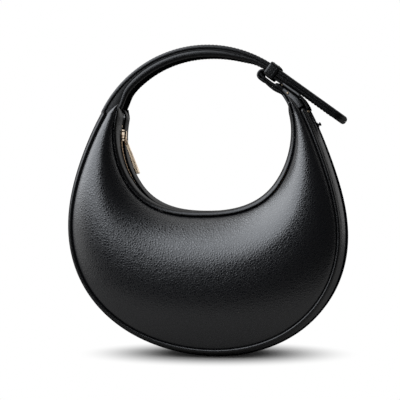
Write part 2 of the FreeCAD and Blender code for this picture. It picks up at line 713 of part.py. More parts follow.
def tail_ply(label, side):
    """Half of the tail's thickness, with a round root and tip; the inner one has a hole for the stud."""
    high, low = STRAP_THICKNESS / 2 * side, D.ply_gap / 2 * side
    bend = math.sqrt(high ** 2 - low ** 2)
    turn = 45
    round_middle = Vector(-abs(high) * cos(turn), 0, high * sin(turn))
    root = Part.Arc(Vector(-bend, 0, low), round_middle, Vector(0, 0, high))
    far = D.tail_length
    edges = [root.toShape(), Part.LineSegment(Vector(0, 0, high), Vector(far, 0, high)).toShape(),
             Part.LineSegment(Vector(far, 0, high), Vector(far, 0, low)).toShape(),
             Part.LineSegment(Vector(far, 0, low), Vector(-bend, 0, low)).toShape()]
    half = D.strap_width / 2
    profile = Part.Face(Part.Wire(edges))
    profile.translate(Vector(0, -half, 0))
    long_strip = profile.extrude(Vector(0, D.strap_width, 0))
    near = -STRAP_THICKNESS
    one, two = Vector(far - half, -half, near), Vector(far - half, half, near)
    three, four = Vector(near, half, near), Vector(near, -half, near)
    tip = Part.Arc(one, Vector(far, 0, near), two).toShape()
    sides = [Part.LineSegment(a, b).toShape() for a, b in ((two, three), (three, four), (four, one))]
    plan = Part.Wire([tip] + sides)
    shape = long_strip.common(Part.Face(plan).extrude(Vector(0, 0, 2 * STRAP_THICKNESS)))
    if side < 0:
        reach = (tail_stud.Placement.Base - TAIL_PIVOT).Length
        under = Vector(reach, 0, -STRAP_THICKNESS)
        hole = Part.makeCylinder(D.tail_stud_head + D.stud_gap, STRAP_THICKNESS, under)
        shape = shape.cut(hole)
    node(label, shape, tail_place)


tail_ply("tail_outer_ply", 1)
tail_ply("tail_inner_ply", -1)

# Tab: leather that rises from the gusset under the strap, folds back round the keeper and returns to the mouth
TAB_TOP = STRAP_THICKNESS + D.keeper_gap
TAB_UNDER = D.strap_radius - TAB_TOP - D.tab_thickness / 2
FOLD_ANGLE = D.keeper_angle - math.degrees((D.keeper_width / 2 + D.keeper_gap) / TAB_UNDER)
# Shares of the tab's run and of its thickness: where it lies under the strap's face, and how it returns
TAB_RISE_SHARES = ((1.0, 1.04), (0.8, 1.23))
TAB_STRAIGHT_SHARES = (0.5, 0.25, 0.0)
TAB_RETURN_SHARES = ((0.12, -0.15), (0.35, 0.08), (0.6, -1.0), (0.82, -0.8), (1.0, -0.38))
FOLD_TURNS = (22, 45, 90, 135, 180)


def tab_middle():
    """Middle line of the tab, from the gusset's end, under the strap, round the fold and back to the mouth."""
    run = D.tab_end - D.strap_leave
    points = []
    for share, depth_share in TAB_RISE_SHARES:
        points.append(on_strap(D.strap_leave + run * share, D.strap_radius - D.tab_thickness * depth_share))
    for share in TAB_STRAIGHT_SHARES:
        angle = D.strap_leave + run * share
        points.append(on_strap(angle, TAB_UNDER / cos(angle - D.strap_leave)))
    for angle in ((D.strap_leave + FOLD_ANGLE) / 2, FOLD_ANGLE):
        points.append(on_strap(angle, TAB_UNDER))
    for turn in FOLD_TURNS:
        lean = math.degrees(D.tab_fold * sin(turn) / TAB_UNDER)
        points.append(on_strap(FOLD_ANGLE - lean, TAB_UNDER - D.tab_fold * (1 - cos(turn))))
    low = TAB_UNDER - 2 * D.tab_fold
    for share, depth_share in TAB_RETURN_SHARES:
        angle = FOLD_ANGLE + (D.tab_return - FOLD_ANGLE) * share
        points.append(on_strap(angle, low - D.tab_thickness * depth_share))
    return points


def flat_band(middle, thickness):
    """Face of even thickness along a line of points in the XZ plane."""
    line = [(point.x, point.z) for point in middle]
    sides = []
    for distance in (thickness / 2, -thickness / 2):
        sides.append([Vector(x, 0, z) for x, z in offset_line(line, distance)])
    return Part.Face(ribbon_wire(*sides))


tab_loop = banded(flat_band(tab_middle(), D.tab_thickness), tab_prism)
# Backing: a padded tongue between the tab's two runs, which lies along the back of the strap's stud and grows
# thicker toward the horn. Shares of the tab's run, and of the ply's thickness for its drop and its fullness
BACKING_SHARES = ((0.22, 0.0, 1.7), (0.36, 0.0, 1.7), (0.5, 0.0, 2.0), (0.66, 0.25, 2.8), (0.82, 0.8, 4.0))
STUD_DEPTH = TAB_TOP + D.tab_thickness + D.fit_gap + D.stud_plate
BACKING_TOP = D.strap_radius - STUD_DEPTH - D.fit_gap
backing_lines = ([], [])
for share, drop_share, full_share in BACKING_SHARES:
    angle = D.strap_leave + (D.tab_end - D.strap_leave) * share
    radius = BACKING_TOP / cos(angle - D.strap_leave) - D.backing_thickness * drop_share
    backing_lines[0].append(on_strap(angle, radius))
    backing_lines[1].append(on_strap(angle, radius - D.backing_thickness * full_share))
node("tab_backing", banded(arch_face(*backing_lines), tab_prism))


# Stud that fastens the strap: back under the tab, shank through the tab, head in the strap's inner ply
def stud_place(angle, radius):
    return Placement(on_strap(angle, radius), Rotation(Vector(0, 1, 0), D.strap_leave))


stud_floor = (D.strap_radius - TAB_TOP - D.tab_thickness - D.fit_gap) / cos(D.stud_angle - D.strap_leave)
strap_stud = turned_body("strap_stud", (
    ("0", "-Sizes.stud_plate"), ("Sizes.stud_back", "-Sizes.stud_plate"), ("Sizes.stud_back", "0"),
    ("Sizes.stud_shank", "0"), ("Sizes.stud_shank", "Sizes.tab_thickness + Sizes.keeper_gap"),
    ("Sizes.stud_head", "Sizes.tab_thickness + Sizes.keeper_gap + Sizes.stud_plate"),
    ("Sizes.stud_head", "Sizes.tab_thickness + Sizes.keeper_gap + 2 * Sizes.stud_plate"),
    ("Sizes.stud_shank", "Sizes.tab_thickness + Sizes.keeper_gap + 3 * Sizes.stud_plate"),
    ("0", "Sizes.tab_thickness + Sizes.keeper_gap + 3 * Sizes.stud_plate")))
strap_stud.Placement = stud_place(D.stud_angle, stud_floor)
hole_place = strap_stud.Placement
stud_hole = Part.makeCylinder(D.stud_shank + D.stud_gap, 2 * D.tab_thickness, Vector(0, 0, -D.fit_gap))
head_floor = Vector(0, 0, D.tab_thickness + D.fit_gap)
head_hole = Part.makeCylinder(D.stud_head + D.stud_gap, D.ply_thickness, head_floor)
for hole in (stud_hole, head_hole):
    hole.Placement = hole_place.multiply(hole.Placement)
node("tab_loop", tab_loop.cut(stud_hole))
node("strap_inner_ply", inner_ply.cut(head_hole))

# Keeper: a sewn leather ring round the strap and the tab, free to slide a little along them
def keeper():
    body = new_body("keeper")
    gap, wall = "Sizes.keeper_gap", "Sizes.keeper_thickness"
    inside, outside = "(Sizes.strap_width / 2 + %s)" % gap, "(Sizes.strap_width / 2 + %s + %s)" % (gap, wall)
    top = "(Sizes.strap_radius + %s)" % gap
    low = "(Sizes.strap_radius - 2 * Sizes.ply_thickness - Sizes.ply_gap - 2 * %s - Sizes.tab_thickness)" % gap
    outer = (("-" + outside, low + " - " + wall), (outside, low + " - " + wall),
             (outside, top + " + " + wall), ("-" + outside, top + " + " + wall))
    inner_plan = (("-" + inside, low), (inside, low), (inside, top), ("-" + inside, top))
    pad(body, "band", outline_sketch(body, "band_outline", "YZ_Plane", outer), "Sizes.keeper_width", True)
    ease(body, "band_corners", "Fillet", "Sizes.keeper_round",
         lambda edge: abs(edge.BoundBox.XLength - D.keeper_width) < D.fit_gap)
    band_eye = outline_sketch(body, "band_eye", "YZ_Plane", inner_plan)
    pocket(body, "eye", band_eye, "2 * Sizes.keeper_width", True)
    body.Placement = Placement(Vector(0, 0, D.strap_height), Rotation(Vector(0, 1, 0), D.keeper_angle))


keeper()


# Horn rivets: domed caps whose shanks pin the padded tongue on both sides
DOME_SHARE = 0.55


def horn_rivets():
    cap = Part.makeCone(D.rivet_head, D.rivet_head * DOME_SHARE, D.rivet_rise)
    shank = Part.makeCylinder(D.rivet_shank, D.rivet_length, Vector(0, 0, -D.rivet_length))
    rivet = cap.fuse(shank).removeSplitter()
    top = BACKING_TOP / cos(D.rivet_angle - D.strap_leave)
    spot = on_strap(D.rivet_angle, top - D.rivet_head - D.rivet_margin)
    widening = (D.strap_base_width - D.strap_width) / 2 / (D.tab_taper_outer - D.tab_taper_inner)
    half = D.strap_width / 2 + widening * (spot.x - D.tab_taper_inner)
    backing = doc.getObject("tab_backing")
    rivets = []
    for side in (FRONT, BACK):
        out = Vector(-widening, side, 0).normalize()
        place = Placement(Vector(spot.x, side * half, spot.z) + out * D.fit_gap, Rotation(Vector(0, 0, 1), out))
        piece = rivet.copy()
        piece.Placement = place
        rivets.append(piece)
        depth = D.rivet_length + D.fit_gap
        hole = Part.makeCylinder(D.rivet_shank + D.fit_gap, depth + D.overrun, Vector(0, 0, -depth))
        hole.Placement = place
        backing.Shape = backing.Shape.cut(hole)
    node("horn_rivets", Part.makeCompound(rivets))


horn_rivets()

# Every object must be sound before anything is written
doc.recompute()
pieces = [item for item in doc.Objects if item.TypeId in ("Part::Feature", "PartDesign::Body")]
for item in doc.Objects:
    if "Invalid" in item.State or "Error" in item.State:
        raise ValueError("%s failed: %s" % (item.Label, item.State))
for item in pieces:
    if item.Shape.isNull() or not item.Shape.isValid():
        raise ValueError("%s has no valid shape" % item.Label)
os.makedirs("parts", exist_ok=True)
for item in pieces:
    item.Shape.exportStep("parts/%s.step" % item.Label)
    print(item.Label, len(item.Shape.Solids), round(item.Shape.Volume, 1))
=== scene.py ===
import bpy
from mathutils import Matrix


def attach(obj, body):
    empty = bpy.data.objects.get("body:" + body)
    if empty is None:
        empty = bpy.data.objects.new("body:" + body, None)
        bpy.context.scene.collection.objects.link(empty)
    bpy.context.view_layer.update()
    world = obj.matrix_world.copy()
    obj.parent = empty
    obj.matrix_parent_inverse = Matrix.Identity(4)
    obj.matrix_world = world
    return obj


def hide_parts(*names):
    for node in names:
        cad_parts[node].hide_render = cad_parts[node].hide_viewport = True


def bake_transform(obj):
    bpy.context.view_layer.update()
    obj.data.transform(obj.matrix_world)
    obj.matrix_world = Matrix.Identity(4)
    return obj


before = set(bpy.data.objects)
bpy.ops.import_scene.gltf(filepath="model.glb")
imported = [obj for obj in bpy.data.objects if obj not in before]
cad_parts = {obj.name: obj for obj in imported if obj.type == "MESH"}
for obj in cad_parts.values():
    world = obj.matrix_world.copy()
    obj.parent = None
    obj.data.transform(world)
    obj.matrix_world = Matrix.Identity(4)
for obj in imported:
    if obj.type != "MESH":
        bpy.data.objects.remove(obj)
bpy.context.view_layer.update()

import math

import bpy
import numpy as np

# Gusset: a long band of black pebbled leather sewn between the two panels, from horn to horn round the
# base. Its edges turn down into the piped seams, its middle stands proud, and the bag rests on a flat
# that its own weight presses into the lowest stretch.
MM = 0.001
BODY_HEIGHT, BODY_RADIUS, HORN_ANGLE = 149.87, 140.5, 132.5
OVAL, OVAL_LEAN, CORNER, CORNER_LEAN = 10.2, 2.0, 7.5, 1.4
HORN_HALF, BASE_HALF = 20.9, 36.0
GUSSET_THICKNESS, GUSSET_CROWN, HORN_CROWN = 2.8, 6.0, 5.0
GUSSET_EDGE, GUSSET_TUCK = 3.4, 1.5


def sine(angle):
    """Sine of an angle in degrees."""
    return np.sin(np.radians(angle))


def cosine(angle):
    """Cosine of an angle in degrees."""
    return np.cos(np.radians(angle))


def about(height, angle, radius, y):
    """Point at an angle, from straight down, about a centre at a height on the middle plane."""
    angle, radius, y = np.broadcast_arrays(angle, radius, y)
    return np.stack([radius * sine(angle), y, height - radius * cosine(angle)], axis=-1)


def toward_horn(angle, at_base, at_horn, power=2):
    """Value that goes from the base to the horns as a power of the angle."""
    share = np.minimum(np.abs(angle) / HORN_ANGLE, 1) ** power
    return at_base + (at_horn - at_base) * share


def outline(angle):
    """Radius of the outer seam: a circle with waves of two and three turns, each leaning a little aside."""
    oval = OVAL * cosine(2 * angle) + OVAL_LEAN * sine(2 * angle)
    corner = CORNER * cosine(3 * angle) - CORNER_LEAN * sine(3 * angle)
    return BODY_RADIUS + oval - corner


def half_depth(angle):
    """Half the depth between the outer seams, which narrows to the horns as the angle's power of 2.5."""
    return toward_horn(angle, BASE_HALF, HORN_HALF, 2.5)


def into_scene(name, data):
    """Object for a mesh, a lamp or a camera, linked into the scene."""
    item = bpy.data.objects.new(name, data)
    bpy.context.collection.objects.link(item)
    return item


def mesh_piece(name, points, faces, rounded):
    """Piece from points in metres and a list of faces, of which the first so many are shaded smooth."""
    mesh = bpy.data.meshes.new(name)
    mesh.from_pydata(points.tolist(), [], faces)
    mesh.polygons.foreach_set("use_smooth", np.arange(len(faces)) < rounded)
    return into_scene(name, mesh)


def skin(name, grid, loop=False):
    """Closed piece from a grid of points, rows along it and columns round its section: neighbours make
    four-sided faces, each section closes on itself, and the end sections are filled unless the rows form
    a loop. Where the volume comes out negative, the faces are turned round."""
    rows, columns = grid.shape[:2]
    index = np.arange(rows * columns).reshape(rows, columns)
    low = index if loop else index[:-1]
    high = np.roll(index, -1, axis=0) if loop else index[1:]
    quads = np.stack([low, np.roll(low, -1, axis=1), np.roll(high, -1, axis=1), high], axis=-1).reshape(-1, 4)
    points = grid.reshape(-1, 3) * MM
    corner = points[quads] - points.mean(axis=0)
    volume = np.einsum("ij,ij->i", corner[:, 0], np.cross(corner[:, 1], corner[:, 2])).sum()
    volume += np.einsum("ij,ij->i", corner[:, 0], np.cross(corner[:, 2], corner[:, 3])).sum()
    ends = [] if loop else [index[0][::-1].tolist(), index[-1].tolist()]
    faces = quads.tolist() + ends
    if volume < 0:
        faces = [face[::-1] for face in faces]
    return mesh_piece(name, points, faces, len(quads))


def to_linear(code):
    """Linear colour of an sRGB hex code."""
    parts = np.array([int(code[at:at + 2], 16) for at in (1, 3, 5)]) / 255
    linear = np.where(parts <= 0.04045, parts / 12.92, ((parts + 0.055) / 1.055) ** 2.4)
    return (*linear.tolist(), 1.0)


def add(tree, kind, values=None, links=None, **settings):
    """Adds a node, sets its properties and its sockets' values, and links other nodes' outputs into it."""
    node = tree.nodes.new(kind)
    for key, value in settings.items():
        setattr(node, key, value)
    for key, value in (values or {}).items():
        node.inputs[key].default_value = value
    for key, output in (links or {}).items():
        tree.links.new(output, node.inputs[key])
    return node


def new_material(name):
    """Empty node material with an output."""
    material = bpy.data.materials.new(name)
    material.use_nodes = True
    material.node_tree.nodes.clear()
    return material, material.node_tree, add(material.node_tree, "ShaderNodeOutputMaterial")


def pebbled_leather(name, colour, crease_shade, pebble, depth, smooth, rough, gleam=0.95):
    """Drum-dyed cowhide, milled so that its grain shrinks into pebbles: low domes between creases, which are
    painted a shade darker as painted shade.
    The domes come from the distance to a cell's edge, on cells whose lines a noise makes crooked. Its waxed
    pores keep it from mirroring the room at a slant, so the gleam that it has face on falls off there."""
    material, tree, output = new_material(name)
    place = add(tree, "ShaderNodeTexCoord").outputs["Object"]
    bend = add(tree, "ShaderNodeTexNoise", {"Scale": 0.7 / pebble, "Detail": 1.0}, {"Vector": place})
    crooked = add(tree, "ShaderNodeVectorMath", {1: (pebble * 0.7,) * 3}, {0: bend.outputs["Color"]},
                  operation="MULTIPLY")
    moved = add(tree, "ShaderNodeVectorMath", {}, {0: place, 1: crooked.outputs[0]}, operation="ADD")
    cells = add(tree, "ShaderNodeTexVoronoi", {"Scale": 1 / pebble}, {"Vector": moved.outputs[0]},
                feature="DISTANCE_TO_EDGE")
    dome = add(tree, "ShaderNodeMapRange", {"From Max": 0.32}, {"Value": cells.outputs["Distance"]},
               interpolation_type="SMOOTHSTEP")
    fine = add(tree, "ShaderNodeTexNoise", {"Scale": 4 / pebble, "Detail": 2.0}, {"Vector": place})
    height = add(tree, "ShaderNodeMath", {1: 0.04}, {0: fine.outputs["Fac"], 2: dome.outputs[0]},
                 operation="MULTIPLY_ADD")
    bump = add(tree, "ShaderNodeBump", {"Strength": 1.0, "Distance": depth}, {"Height": height.outputs[0]})
    # painted shade: the creases between the domes get a darker colour than the domes' tops
    shaded_tint = add(tree, "ShaderNodeMix", {6: to_linear(crease_shade), 7: to_linear(colour)}, {0: dome.outputs[0]},
               data_type="RGBA")
    gloss = add(tree, "ShaderNodeMapRange", {"To Min": rough, "To Max": smooth}, {"Value": dome.outputs[0]})
    slant = add(tree, "ShaderNodeLayerWeight", {"Blend": 0.5})
    shine = add(tree, "ShaderNodeMapRange",
                {"From Min": 0.3, "From Max": 0.72, "To Min": gleam, "To Max": 0.0},
                {"Value": slant.outputs["Facing"]})
    shader = add(tree, "ShaderNodeBsdfPrincipled", {"IOR": 1.55},
                 {"Base Color": shaded_tint.outputs[2], "Roughness": gloss.outputs[0], "Normal": bump.outputs[0],
                  "Specular IOR Level": shine.outputs[0]})
    tree.links.new(shader.outputs[0], output.inputs["Surface"])
    return material


def dress(piece, material, slot, body, *nodes):
    """Gives a piece its material, the body it moves with and the solids it stands for. The slot is not used.
    """
    piece.data.materials.append(material)
    if nodes:
        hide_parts(*nodes)
    if body:
        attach(piece, body)


def gusset_band(angles, top, thickness, edge, across=41, tuck=0.0):
    """Sections of a band about the body's centre: half the depth across, risen by the crown times one minus
    the share across to its fourth power, with edges that tuck down into the seams over about 2 mm."""
    angles = angles[:, None]
    share = np.linspace(-1, 1, across)[None, :]
    half = half_depth(angles) - edge
    crown = toward_horn(angles, GUSSET_CROWN, HORN_CROWN)
    radius = outline(angles) + GUSSET_THICKNESS / 2 + crown * (1 - np.abs(share) ** 4) - top
    turned = radius - tuck * np.exp(-(1 - np.abs(share)) * half / 1.6)
    outer = about(BODY_HEIGHT, angles, turned, share * half)
    inner = about(BODY_HEIGHT, angles, radius - thickness - tuck / 2, share * half)
    return np.concatenate([outer, inner[:, ::-1]], axis=1)


# The grain is drawn at 2.3 mm, a little over its real size, so that it still shows at a pixel per millimetre
# the second colour is painted shade in the grain's creases
leather = pebbled_leather("black pebbled cowhide", "#0e0f13", "#09090c", 2.3 * MM, 0.07 * MM, 0.2, 0.34)
for name, start, end in (("gusset_left", -HORN_ANGLE, 0.0), ("gusset_right", 0.0, HORN_ANGLE)):
    run = np.linspace(start, end, 141)
    sections = gusset_band(run, 0.0, GUSSET_THICKNESS, GUSSET_EDGE, across=61, tuck=GUSSET_TUCK)
    sections[..., 2] = np.maximum(sections[..., 2], 0.0)
    dress(skin(name + "_leather", sections), leather, "leather", "bag", name)

# Gusset lining and base board: a plain woven lining glued round the inside of the gusset, nearly from horn to
# horn, and a stiff fibre board that lies on it in the base and keeps that in shape.
LINING_DEPTH, LINING_THICKNESS, LINING_EDGE, LINING_ANGLE = 3.2, 0.7, 7.3, 0.9 * HORN_ANGLE
BOARD_DEPTH, BOARD_THICKNESS, BOARD_EDGE, BOARD_ANGLE = 4.3, 1.8, 10.3, 30


def plain_weave(name, colour, thread):
    """Plain-woven polyester: crossed threads, drawn as two waves, that give a soft even sheen. A wave of
    scale 1 repeats every 0.3142 m, so the scale is that over the thread's spacing."""
    material, tree, output = new_material(name)
    place = add(tree, "ShaderNodeTexCoord").outputs["Object"]
    waves = [add(tree, "ShaderNodeTexWave", {"Scale": 0.3142 / thread, "Distortion": 0.4}, {"Vector": place},
                 bands_direction=way) for way in ("X", "Z")]
    crossing = add(tree, "ShaderNodeMath", {}, {0: waves[0].outputs["Fac"], 1: waves[1].outputs["Fac"]},
                   operation="MULTIPLY")
    bump = add(tree, "ShaderNodeBump", {"Distance": 0.2 * thread}, {"Height": crossing.outputs[0]})
    light = add(tree, "ShaderNodeMapRange", {"To Min": 0.7, "To Max": 0.9}, {"Value": crossing.outputs[0]})
    shader = add(tree, "ShaderNodeBsdfPrincipled", {"Base Color": to_linear(colour), "Sheen Weight": 0.15},
                 {"Roughness": light.outputs[0], "Normal": bump.outputs[0]})
    tree.links.new(shader.outputs[0], output.inputs["Surface"])
    return material


# Matt and dark, so that the inside of the bag stays in shadow
lining_cloth = plain_weave("black lining cloth", "#1b1b1d", 0.5 * MM)
# Pressed fibres under a scrim, a dull grey that shows a faint mesh
board_cover = plain_weave("grey fibre board", "#4a4742", 0.8 * MM)
lining_run = np.linspace(-LINING_ANGLE, LINING_ANGLE, 121)
lining = skin("gusset_lining_cloth", gusset_band(lining_run, LINING_DEPTH, LINING_THICKNESS, LINING_EDGE))
dress(lining, lining_cloth, "lining", "bag", "gusset_lining")
board_run = np.linspace(-BOARD_ANGLE, BOARD_ANGLE, 41)
board = skin("base_stiffening_board", gusset_band(board_run, BOARD_DEPTH, BOARD_THICKNESS, BOARD_EDGE))
dress(board, board_cover, "board", "bag", "base_board")

# Front and back panels: crescents of the same hide, stretched over a padded backing so that they swell to a
# crest below the mouth. Each is sewn to the facing at its lip and to the piping at its outer edge, and lined.
SIDES = (("front", -1), ("back", 1))
MOUTH_HEIGHT, LIP_RADIUS, LIP_RISE, LIP_SPAN = 217.5, 90.8, 10.0, 55
LEFT_TIP, RIGHT_TIP, PIPING_RADIUS = 8.0, 11.0, 2.0
PANEL_THICKNESS, PANEL_TUCK, PANEL_SWELL, HORN_SWELL, CREST = 2.6, 1.6, 20.0, 1.5, 0.40
BACKING_DEPTH, BACKING_THICKNESS, BACKING_MARGIN = 3.0, 0.8, 8.0
CLOTH_DEPTH, CLOTH_MARGIN, NARROWEST = 4.2, 3.0, 20.0


def lip(angle):
    """Radius of the lip seam about the mouth's centre: a circle raised in the middle by a squared cosine."""
    return LIP_RADIUS - LIP_RISE * cosine(np.clip(90 * angle / LIP_SPAN, -90, 90)) ** 2


def panel_stations(count):
    """Angles about the mouth, outer radii and angles about the body along a panel, from the outer seam. Past
    each end of the seam a tip goes on, whose width shrinks as a power of the share along it."""
    angles = np.linspace(-HORN_ANGLE, HORN_ANGLE, count)
    seam = outline(angles) - PIPING_RADIUS * 0.8 - toward_horn(angles, 0, 0.7, 6)
    edge = about(BODY_HEIGHT, angles, seam, 0)
    drop = MOUTH_HEIGHT - edge[:, 2]
    turn, outer = np.degrees(np.arctan2(edge[:, 0], drop)), np.hypot(edge[:, 0], drop)
    share = np.linspace(0, 1, 14)[1:]
    narrow = 1 - 0.9 * share ** 1.2
    tip_angle = np.full_like(share, HORN_ANGLE)
    return (np.concatenate([turn[0] - LEFT_TIP * share[::-1], turn, turn[-1] + RIGHT_TIP * share]),
            np.concatenate([LIP_RADIUS + (outer[0] - LIP_RADIUS) * narrow[::-1], outer,
                            LIP_RADIUS + (outer[-1] - LIP_RADIUS) * narrow]),
            np.concatenate([-tip_angle, angles, tip_angle]))


def panel_sheet(side, top, thickness, margin=0.0, least=0.0, count=221, across=72, tuck=0.0):
    """Sections of a sheet under a panel's face: depth goes from the lip to the outer seam, plus a swell that
    rises and falls as two parabolas that meet at the crest; the edges tuck in over about 2 mm."""
    turn, outer, angle = panel_stations(count)
    keep = outer - lip(turn) > least
    turn, outer, angle = (values[keep][:, None] for values in (turn, outer, angle))
    width = outer - lip(turn)
    share = margin / width + (1 - 2 * margin / width) * np.linspace(0, 1, across)[None, :]
    rise = np.where(share < CREST, share / CREST, (1 - share) / (1 - CREST))
    depth = HORN_HALF * (1 - share) + half_depth(angle) * share
    depth = depth + toward_horn(angle, PANEL_SWELL, HORN_SWELL) * (1 - (1 - rise) ** 2)
    soft = np.exp(-share * width / 1.5) + np.exp(-(1 - share) * width / 1.8)
    radius = lip(turn) + width * share
    outer_face = about(MOUTH_HEIGHT, turn, radius, side * (depth - top - tuck * soft))
    inner_face = about(MOUTH_HEIGHT, turn, radius, side * (depth - top - thickness))
    return np.concatenate([outer_face, inner_face[:, ::-1]], axis=1)


for name, side in SIDES:
    hide = panel_sheet(side, 0.0, PANEL_THICKNESS, tuck=PANEL_TUCK)
    dress(skin(name + "_panel_leather", hide), leather, "leather", "bag", name + "_panel")
    backing = panel_sheet(side, BACKING_DEPTH, BACKING_THICKNESS, margin=BACKING_MARGIN, least=NARROWEST,
                          count=81, across=24)
    dress(skin(name + "_panel_padding", backing), board_cover, "stiffener", "bag", name + "_stiffener")
    cloth = panel_sheet(side, CLOTH_DEPTH, LINING_THICKNESS, margin=CLOTH_MARGIN, least=NARROWEST,
                        count=121, across=32)
    dress(skin(name + "_lining_cloth", cloth), lining_cloth, "lining", "bag", name + "_lining")


# Piping: a strip of thinner leather folded round a cord and caught in each outer seam, so that a thin round
# edge runs from horn to horn on both faces.
def corded_edge(side):
    """Circle of the cord's radius carried along the outer seam."""
    angles = np.linspace(-HORN_ANGLE, HORN_ANGLE, 301)[:, None]
    turn = np.linspace(0, 360, 20, endpoint=False)[None, :]
    radius = outline(angles) + PIPING_RADIUS * cosine(turn)
    depth = half_depth(angles) - PIPING_RADIUS + PIPING_RADIUS * sine(turn)
    return about(BODY_HEIGHT, angles, radius, side * depth)


# Finer and flatter in the grain than the panels' hide, with a low even gloss
# its second colour is painted shade in the grain's creases
strap_leather = pebbled_leather("black strap leather", "#0b0b0c", "#080809", 1.2 * MM, 0.03 * MM, 0.2, 0.3,
                                gleam=0.55)
for name, side in SIDES:
    cord_cover = skin(name + "_piping_leather", corded_edge(side))
    dress(cord_cover, strap_leather, "leather", "bag", name + "_piping")

# Zip facings: strips of leather that rise from each lip seam, roll over the rim of the mouth and go down to
# the zip, where their turned edges hide the tape. Past the zip's ends the two are sewn together.
FACING_THICKNESS, FACING_ANGLE, FACING_SEAM = 1.8, 109.0, 0.6
FACING_ROLL, FRONT_PRESS, PRESS_ANGLE = 6.0, 3.0, 95
ZIP_RADIUS, ZIP_SLOT, CLOSED_SLOT, ZIP_ANGLE = 86.8, 12.4, 0.3, 102


def left_normals(line):
    """Unit normals on the left of plane lines, square to the step between each point's neighbours."""
    run = np.gradient(line, axis=-2)
    normal = np.stack([-run[..., 1], run[..., 0]], axis=-1)
    return normal / np.linalg.norm(normal, axis=-1, keepdims=True)


def facing_strip(side):
    """A cubic Bezier curve from the lip over a crest to the zip's edge, at each angle round the mouth, given
    its thickness along its normals. The front one is pressed lower near the horns, and past the zip's ends
    both flatten and close on the middle plane."""
    angles = np.linspace(-FACING_ANGLE, FACING_ANGLE, 181)
    closing = np.clip((np.abs(angles) - ZIP_ANGLE) / (FACING_ANGLE - ZIP_ANGLE), 0, 1) ** 2
    share = np.linspace(0, 1, 26)
    rest = 1 - share
    weights = np.stack([rest ** 3, 3 * share * rest ** 2, 3 * share ** 2 * rest, share ** 3])
    middle = HORN_HALF - FACING_THICKNESS / 2
    start = lip(angles) - FACING_SEAM
    pressed = FRONT_PRESS * np.minimum(np.abs(angles) / PRESS_ANGLE, 1) ** 2 if side < 0 else 0.0
    crest = start - (FACING_ROLL - pressed) * (1 - closing)
    inner_edge = ZIP_RADIUS + (start - ZIP_RADIUS) * closing
    slot = CLOSED_SLOT + (ZIP_SLOT / 2 - CLOSED_SLOT) * (1 - closing)
    radii = np.stack([start, crest, crest, inner_edge], axis=-1) @ weights
    at_lip, between = np.full_like(slot, middle), np.full_like(slot, middle / 2)
    depths = np.stack([at_lip, at_lip, between, slot], axis=-1) @ weights
    line = np.stack([radii, depths], axis=-1)
    half = left_normals(line) * FACING_THICKNESS / 2
    loop = np.concatenate([line + half, (line - half)[:, ::-1]], axis=1)
    return about(MOUTH_HEIGHT, angles[:, None], loop[..., 0], side * loop[..., 1])


for name, side in SIDES:
    facing = skin(name + "_zip_facing_leather", facing_strip(side))
    dress(facing, strap_leather, "leather", "bag", name + "_facing")

# Zip tapes: two woven black tapes sewn under the facings' edges. The metal teeth are crimped on their inner
# edges, so that the tapes carry the whole zip.
TAPE_RADIUS, TAPE_THICKNESS, TAPE_INNER, TAPE_OUTER = 88.0, 0.8, 2.0, 11.0


def zip_band(side):
    """Rectangle of the tape's width and thickness carried round the mouth's circle."""
    angles = np.linspace(-ZIP_ANGLE, ZIP_ANGLE, 121)[:, None]
    across = np.linspace(TAPE_INNER, TAPE_OUTER, 3)
    depth = np.concatenate([across, across[::-1]])[None, :]
    radius = TAPE_RADIUS + TAPE_THICKNESS * np.array([0, 0, 0, 1, 1, 1])[None, :]
    return about(MOUTH_HEIGHT, angles, radius, side * depth)


# A dense matt band beside the bright teeth
tape_cloth = plain_weave("black zip tape", "#141415", 0.6 * MM)
for name, side in SIDES:
    dress(skin(name + "_woven_zip_tape", zip_band(side)), tape_cloth, "zip_tape", "bag", name + "_zip_tape")


# Zip hardware, studs and rivets: zinc castings and brass teeth, plated a pale gold and polished, and one stud
# lacquered black. The castings hang on the zip; studs and rivets are pressed through the leather.
def plated(name, colour, smooth, rough, metal=1.0):
    """Polished plating or lacquer: roughness that a fine noise varies, with faint polishing marks."""
    material, tree, output = new_material(name)
    place = add(tree, "ShaderNodeTexCoord").outputs["Object"]
    rub = add(tree, "ShaderNodeTexNoise", {"Scale": 0.3 / MM, "Detail": 4.0}, {"Vector": place})
    gloss = add(tree, "ShaderNodeMapRange", {"To Min": smooth, "To Max": rough},
                {"Value": rub.outputs["Fac"]})
    marks = add(tree, "ShaderNodeBump", {"Distance": 0.01 * MM}, {"Height": rub.outputs["Fac"]})
    shader = add(tree, "ShaderNodeBsdfPrincipled", {"Base Color": to_linear(colour), "Metallic": metal},
                 {"Roughness": gloss.outputs[0], "Normal": marks.outputs[0]})
    tree.links.new(shader.outputs[0], output.inputs["Surface"])
    return material


# Shows the room in long soft streaks, a little duller where fingers rub it
pale_gold = plated("pale gold plating", "#e3cbac", 0.16, 0.30)
# Deeper in tone and duller, where the slider runs over the teeth
tooth_gold = plated("brushed gold zip teeth", "#c9a57c", 0.26, 0.42)
# Black like the leather, with a small soft highlight
black_lacquer = plated("black lacquer on brass", "#121213", 0.25, 0.40, metal=0.0)
finishes = {"front_zip_teeth": tooth_gold, "back_zip_teeth": tooth_gold, "zip_bottom_stop": tooth_gold,
            "zip_top_stops": pale_gold, "slider_body": pale_gold, "slider_bridge": pale_gold,
            "pull_link": pale_gold, "pull_bar": pale_gold, "strap_stud": pale_gold, "horn_rivets": pale_gold,
            "tail_stud": black_lacquer}
for node, finish in finishes.items():
    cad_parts[node].data.materials.clear()
    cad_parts[node].data.materials.append(finish)


